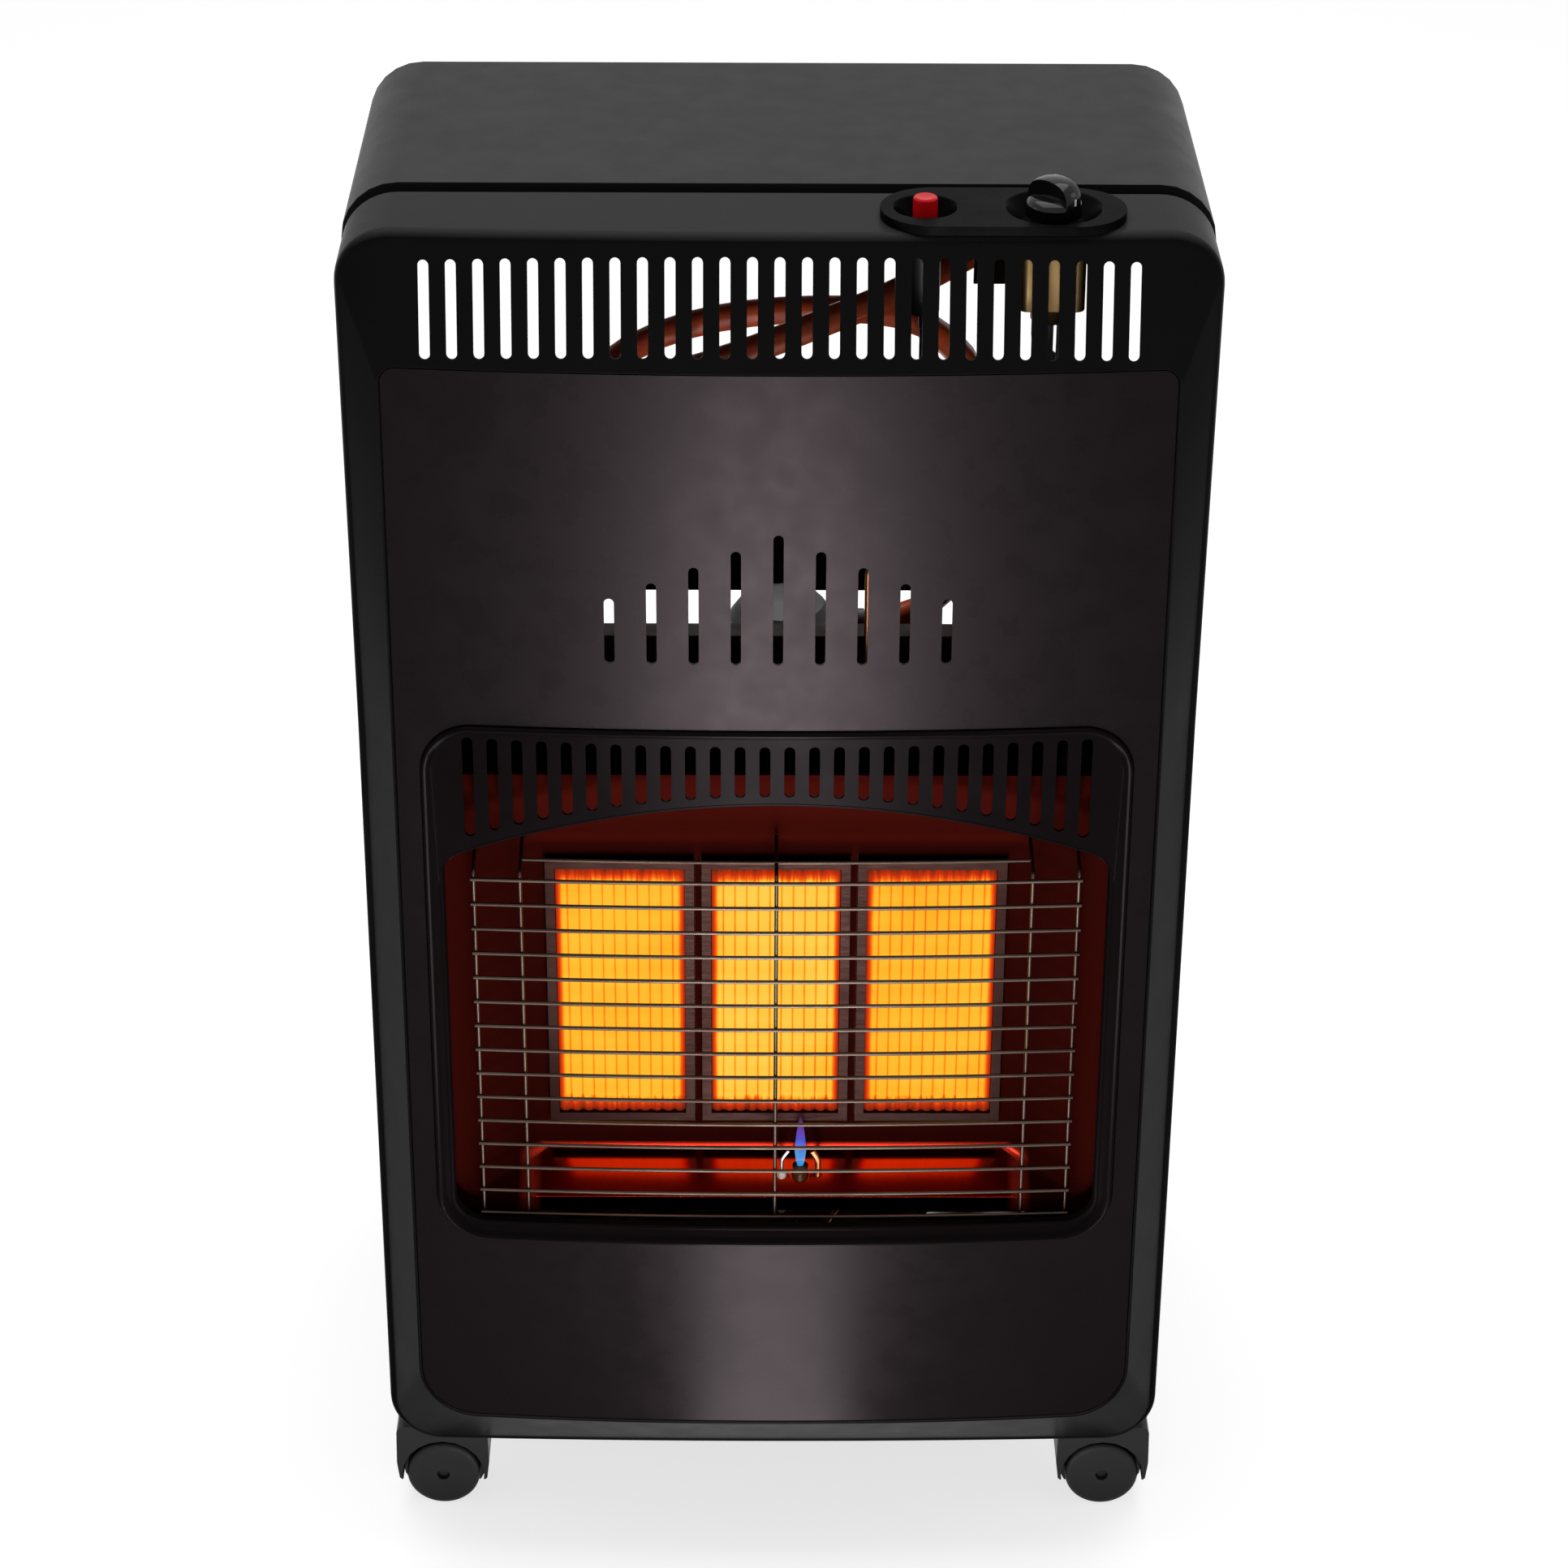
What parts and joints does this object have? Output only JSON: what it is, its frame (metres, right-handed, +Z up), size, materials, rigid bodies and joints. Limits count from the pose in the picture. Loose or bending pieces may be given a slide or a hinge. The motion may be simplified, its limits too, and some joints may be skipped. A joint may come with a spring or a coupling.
{
  "type": "portable gas cabinet heater",
  "caption": "Portable cabinet heater: pressed front with a guarded radiant ceramic burner, slotted hood, top knob and button, open rear bottle bay on a tray with swivel castors.",
  "frame": {"origin": "floor level, centre of the overall box", "axes": "front faces -Y, up is +Z, +X is to the right as seen from the front"},
  "size_m": [0.404, 0.37, 0.756],
  "materials": {
    "frame_paint": "satin charcoal powder coat",
    "panel_paint": "satin brown anthracite enamel",
    "wire": "heat tinted bright steel wire",
    "reflector_steel": "bright reflector sheet",
    "zinc": "zinc plated sheet steel",
    "head_steel": "aluminised steel",
    "black_plastic": "moulded black",
    "gloss_black": "glossy black",
    "red_plastic": "glossy red",
    "brass": "cast and turned brass",
    "copper_pipe": "drawn aluminium tube",
    "hose_rubber": "orange rubber gas hose",
    "regulator_zinc": "die cast grey",
    "copper": "drawn copper",
    "white_ceramic": "glazed white ceramic",
    "ceramic_glow": "porous ceramic, glowing",
    "axle_steel": "plain steel",
    "wheel_plastic": "hard black nylon"
  },
  "bodies": {
    "cabinet": {"front_frame": "frame_paint", "front_panel": "panel_paint", "burner_surround": "panel_paint", "guard_grille": "wire", "reflector": "reflector_steel", "burner_chamber": "zinc", "control_bezel": "black_plastic", "valve_plate": "zinc", "gas_valve": "brass", "piezo_igniter": "black_plastic", "pilot_burner": "brass", "gas_hose": "hose_rubber", "regulator": "regulator_zinc", "regulator_bracket": "zinc", "rear_cross_rail": "frame_paint", "cabinet_shell": "frame_paint", "base_tray": "frame_paint", "thermocouple": "copper", "electrode_insulator": "white_ceramic", "spark_electrode": "axle_steel", "igniter_lead": "black_plastic", "thermocouple_lead": "copper", "burner_head_1": "head_steel", "ceramic_plaque_1": "ceramic_glow", "gas_pipe_1": "copper_pipe", "burner_head_2": "head_steel", "ceramic_plaque_2": "ceramic_glow", "gas_pipe_2": "copper_pipe", "burner_head_3": "head_steel", "ceramic_plaque_3": "ceramic_glow", "gas_pipe_3": "copper_pipe", "castor_socket_front_left": "zinc", "castor_socket_front_right": "zinc", "castor_socket_rear_left": "zinc", "castor_socket_rear_right": "zinc"},
    "spindle": {"valve_spindle": "axle_steel"},
    "knob": {"control_knob": "gloss_black"},
    "button": {"igniter_button": "red_plastic"},
    "castor_front_left": {"castor_fork_front_left": "black_plastic"},
    "wheels_front_left": {"castor_axle_front_left": "axle_steel", "castor_wheel_outer_front_left": "wheel_plastic", "castor_wheel_inner_front_left": "wheel_plastic"},
    "castor_front_right": {"castor_fork_front_right": "black_plastic"},
    "wheels_front_right": {"castor_axle_front_right": "axle_steel", "castor_wheel_outer_front_right": "wheel_plastic", "castor_wheel_inner_front_right": "wheel_plastic"},
    "castor_rear_left": {"castor_fork_rear_left": "black_plastic"},
    "wheels_rear_left": {"castor_axle_rear_left": "axle_steel", "castor_wheel_outer_rear_left": "wheel_plastic", "castor_wheel_inner_rear_left": "wheel_plastic"},
    "castor_rear_right": {"castor_fork_rear_right": "black_plastic"},
    "wheels_rear_right": {"castor_axle_rear_right": "axle_steel", "castor_wheel_outer_rear_right": "wheel_plastic", "castor_wheel_inner_rear_right": "wheel_plastic"}
  },
  "joints": [
    {"name": "knob_push", "type": "slide", "parent": "cabinet", "child": "spindle", "axis": [0, 0, -1], "range_m": [0, 0.004], "stiffness_N_per_m": 600, "springref_m": -0.002},
    {"name": "knob_turn", "type": "hinge", "parent": "spindle", "child": "knob", "pos_m": [0.1235, -0.141, 0.74], "axis": [0, 0, 1], "range_deg": [-170, 0]},
    {"name": "button_press", "type": "slide", "parent": "cabinet", "child": "button", "axis": [0, 0, -1], "range_m": [0, 0.0045], "stiffness_N_per_m": 900, "springref_m": -0.002},
    {"name": "castor_swivel_front_left", "type": "hinge", "parent": "cabinet", "child": "castor_front_left", "pos_m": [-0.164, -0.118, 0.06], "axis": [0, 0, 1], "continuous": true},
    {"name": "wheel_spin_front_left", "type": "hinge", "parent": "castor_front_left", "child": "wheels_front_left", "pos_m": [-0.176, -0.118, 0.0194], "axis": [0, 1, 0], "continuous": true},
    {"name": "castor_swivel_front_right", "type": "hinge", "parent": "cabinet", "child": "castor_front_right", "pos_m": [0.164, -0.118, 0.06], "axis": [0, 0, 1], "continuous": true},
    {"name": "wheel_spin_front_right", "type": "hinge", "parent": "castor_front_right", "child": "wheels_front_right", "pos_m": [0.176, -0.118, 0.0194], "axis": [0, 1, 0], "continuous": true},
    {"name": "castor_swivel_rear_left", "type": "hinge", "parent": "cabinet", "child": "castor_rear_left", "pos_m": [-0.164, 0.155, 0.06], "axis": [0, 0, 1], "continuous": true},
    {"name": "wheel_spin_rear_left", "type": "hinge", "parent": "castor_rear_left", "child": "wheels_rear_left", "pos_m": [-0.176, 0.155, 0.0194], "axis": [0, 1, 0], "continuous": true},
    {"name": "castor_swivel_rear_right", "type": "hinge", "parent": "cabinet", "child": "castor_rear_right", "pos_m": [0.164, 0.155, 0.06], "axis": [0, 0, 1], "continuous": true},
    {"name": "wheel_spin_rear_right", "type": "hinge", "parent": "castor_rear_right", "child": "wheels_rear_right", "pos_m": [0.176, 0.155, 0.0194], "axis": [0, 1, 0], "continuous": true}
  ]
}
